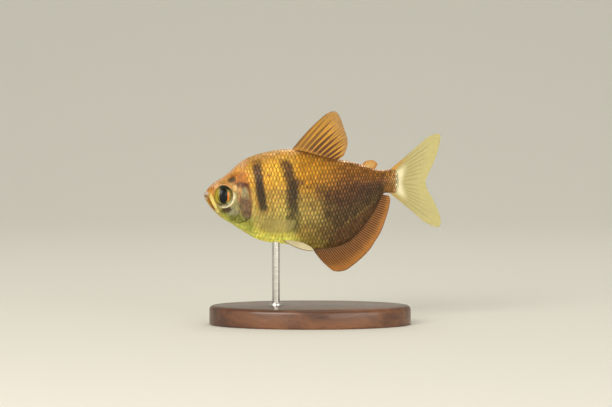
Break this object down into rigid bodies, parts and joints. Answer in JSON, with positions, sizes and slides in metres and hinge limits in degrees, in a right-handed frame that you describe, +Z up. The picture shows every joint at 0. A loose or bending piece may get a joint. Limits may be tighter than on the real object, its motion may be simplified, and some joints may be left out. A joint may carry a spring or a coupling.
{
  "type": "display model of a black skirt tetra",
  "caption": "Life-size still model of a deep-bodied aquarium fish, a black skirt tetra, held over an oval base by one rod, for display.",
  "frame": {"origin": "centre of the stand's underside, on the surface it stands on", "axes": "+Z up, -X towards the fish's snout, -Y towards its left side, which the picture shows"},
  "size_m": [0.0495, 0.025, 0.0444],
  "materials": {
    "flank": "golden fish skin, satin, dark bars in the scene",
    "head_skin": "moist head skin, satin",
    "gill_plate": "silvery gill cover, satin",
    "rear": "dark brown fish skin, satin",
    "fin_brown": "brown fin membrane over rays",
    "fin_gold": "golden brown fin membrane over rays",
    "fin_clear": "pale, nearly clear fin membrane over rays",
    "eye": "glossy",
    "stand_wood": "satin varnish",
    "stand_steel": "brushed"
  },
  "bodies": {
    "root": {"head": "head_skin", "lower_jaw": "head_skin", "gill_cover_left": "gill_plate", "gill_cover_right": "gill_plate", "trunk": "flank", "hind_body": "rear", "tail_stalk": "rear", "dorsal_fin": "fin_gold", "adipose_fin": "fin_gold", "tail_fin_upper": "fin_clear", "tail_fin_lower": "fin_clear", "anal_fin": "fin_brown", "pelvic_fin_left": "fin_clear", "pelvic_fin_right": "fin_clear", "pectoral_fin_left": "fin_clear", "pectoral_fin_right": "fin_clear", "eye_left": "eye", "eye_right": "eye", "stand_base": "stand_wood", "stand_rod": "stand_steel"}
  },
  "joints": []
}
